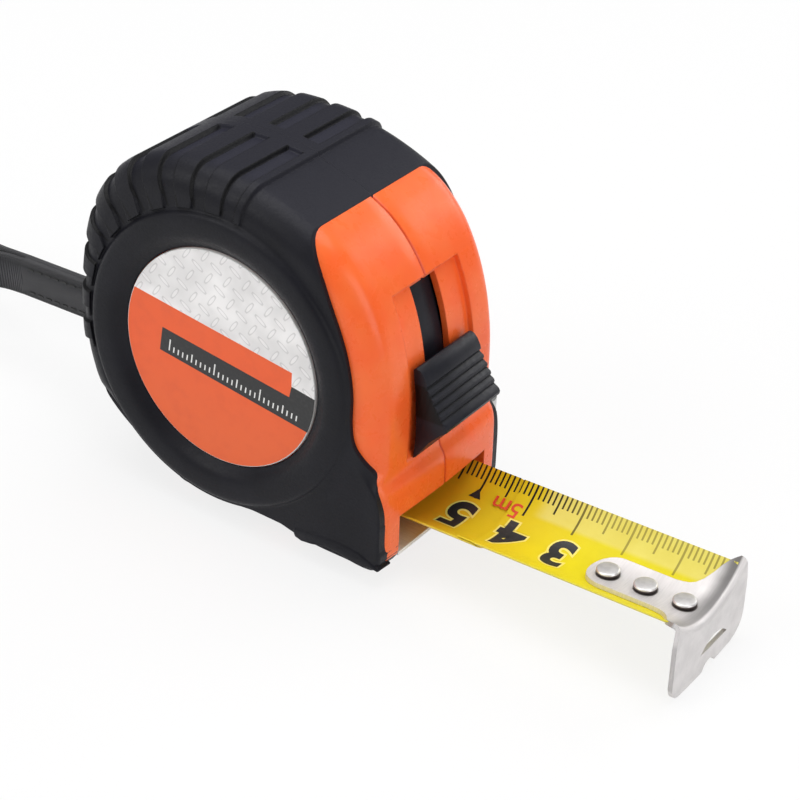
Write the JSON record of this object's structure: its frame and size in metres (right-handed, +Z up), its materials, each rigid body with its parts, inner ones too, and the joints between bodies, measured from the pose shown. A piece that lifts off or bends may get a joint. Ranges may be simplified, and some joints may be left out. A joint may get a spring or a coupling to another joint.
{
  "type": "pocket tape measure",
  "caption": "Pocket tape measure: rubber-jacketed orange case, sprung reel, cupped yellow blade with an end hook, thumb lock, belt clip and wrist strap.",
  "frame": {"origin": "on the flat underside of the case, under the middle of its length and the middle of the blade's width", "axes": "+X the way the blade pulls out, +Y towards the belt clip side, +Z up from the base. The end hook hangs below the base, so on a table the part leans back by about 3 degrees"},
  "size_m": [0.1985, 0.0456, 0.0732],
  "materials": {
    "orange_abs": "glossy orange",
    "black_rubber": "satin black over-moulded rubber",
    "label_print": "printed film on plastic",
    "plain_steel": "plain",
    "dark_steel": "black oxide",
    "white_plastic": "natural acetal",
    "black_plastic": "matte black",
    "button_plastic": "satin black",
    "yellow_blade": "yellow lacquer with printed scale",
    "spring_steel": "hardened spring steel",
    "hook_steel": "zinc plated",
    "strap_webbing": "woven black webbing"
  },
  "bodies": {
    "case": {"label_case_half": "orange_abs", "clip_case_half": "orange_abs", "label_side_jacket": "black_rubber", "clip_side_jacket": "black_rubber", "label_side_grip": "black_rubber", "clip_side_grip": "black_rubber", "label_disc": "label_print", "clip_side_disc": "label_print", "mouth_plate": "plain_steel", "case_screws": "dark_steel", "spindle": "plain_steel", "belt_clip": "spring_steel", "clip_screw": "dark_steel", "strap_pin": "plain_steel", "strap_eye": "strap_webbing", "wrist_strap": "strap_webbing", "spindle_washers": "white_plastic"},
    "reel": {"reel_drum": "black_plastic", "label_side_flange": "black_plastic", "clip_side_flange": "black_plastic", "blade_coil": "yellow_blade", "mainspring": "spring_steel", "spring_clip": "plain_steel"},
    "feed_blade": {"blade_feed": "yellow_blade"},
    "pulled_blade": {"blade_front": "yellow_blade", "hook_rivets": "hook_steel"},
    "hook": {"end_hook": "hook_steel"},
    "thumb_lock": {"lock_strip": "black_plastic", "lock_button": "button_plastic", "lock_neck": "button_plastic", "brake_shoe": "black_rubber"}
  },
  "joints": [
    {"name": "blade_pull", "type": "slide", "parent": "case", "child": "pulled_blade", "axis": [1, 0, 0], "range_m": [-0.052, 0.008]},
    {"name": "blade_feed_slide", "type": "slide", "parent": "case", "child": "feed_blade", "axis": [1, 0, 0], "range_m": [-0.034, 0.0053]},
    {"name": "reel_spin", "type": "hinge", "parent": "case", "child": "reel", "pos_m": [-0.00125, 0, 0.0321], "axis": [0, 1, 0], "range_deg": [-22, 137]},
    {"name": "hook_float", "type": "slide", "parent": "pulled_blade", "child": "hook", "axis": [1, 0, 0], "range_m": [-0.0005, 0.0005]},
    {"name": "thumb_lock_slide", "type": "hinge", "parent": "case", "child": "thumb_lock", "pos_m": [-0.0308, 0, 0.0238], "axis": [0, -1, 0], "range_deg": [0, 7]}
  ],
  "couplings": [
    {"joint": "blade_feed_slide", "follows": "blade_pull", "ratio": 0.65},
    {"joint": "reel_spin", "follows": "blade_pull", "rad_per_m": -45.455}
  ]
}
